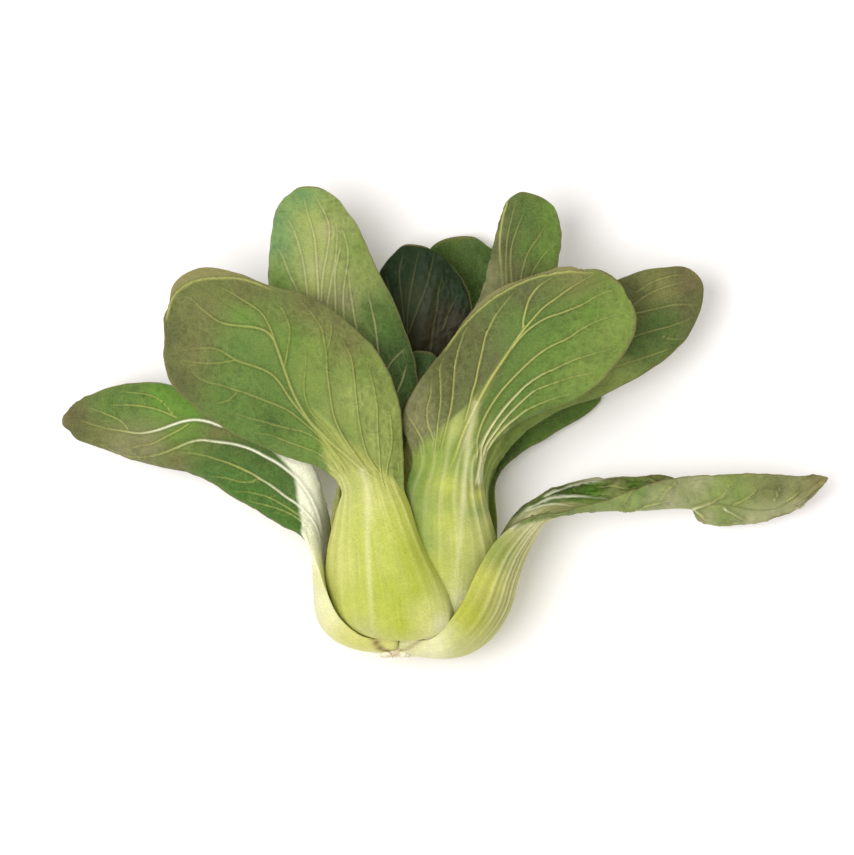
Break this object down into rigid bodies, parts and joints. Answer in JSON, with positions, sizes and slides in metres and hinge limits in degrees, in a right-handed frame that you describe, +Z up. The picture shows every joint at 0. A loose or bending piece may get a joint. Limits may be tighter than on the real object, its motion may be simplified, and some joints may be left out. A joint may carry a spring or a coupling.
{
  "type": "bok choy",
  "caption": "Head of baby bok choy lying on its back: pale fleshy stalks wrap a short cut stem and open into broad green leaves fanned out to both sides.",
  "frame": {"origin": "on the surface the head lies on, below the middle of its spread", "axes": "+X to the right across the fanned leaves, +Y along the head from the cut stem to the leaf tips, +Z up from the surface"},
  "size_m": [0.2702, 0.1652, 0.07],
  "materials": {
    "stem": "cut plant stem, dry and fibrous, matt",
    "stalk": "fleshy leaf stalk, pale yellow-green, waxy half gloss, fine lengthwise ribs",
    "blade": "leaf blade, mid to dark green with pale veins, soft sheen"
  },
  "bodies": {
    "root": {"stem": "stem", "leaf_front_left_stalk": "stalk", "leaf_front_left_blade": "blade", "leaf_outer_right_stalk": "stalk", "leaf_outer_right_blade": "blade", "leaf_outer_left_stalk": "stalk", "leaf_outer_left_blade": "blade", "leaf_front_right_stalk": "stalk", "leaf_front_right_blade": "blade", "leaf_back_middle_stalk": "stalk", "leaf_back_middle_blade": "blade", "leaf_back_right_stalk": "stalk", "leaf_back_right_blade": "blade", "leaf_back_left_stalk": "stalk", "leaf_back_left_blade": "blade", "leaf_tall_left_stalk": "stalk", "leaf_tall_left_blade": "blade", "leaf_mid_right_stalk": "stalk", "leaf_mid_right_blade": "blade", "leaf_upper_right_stalk": "stalk", "leaf_upper_right_blade": "blade", "leaf_back_inner_stalk": "stalk", "leaf_back_inner_blade": "blade", "leaf_heart_stalk": "stalk", "leaf_heart_blade": "blade"}
  },
  "joints": []
}
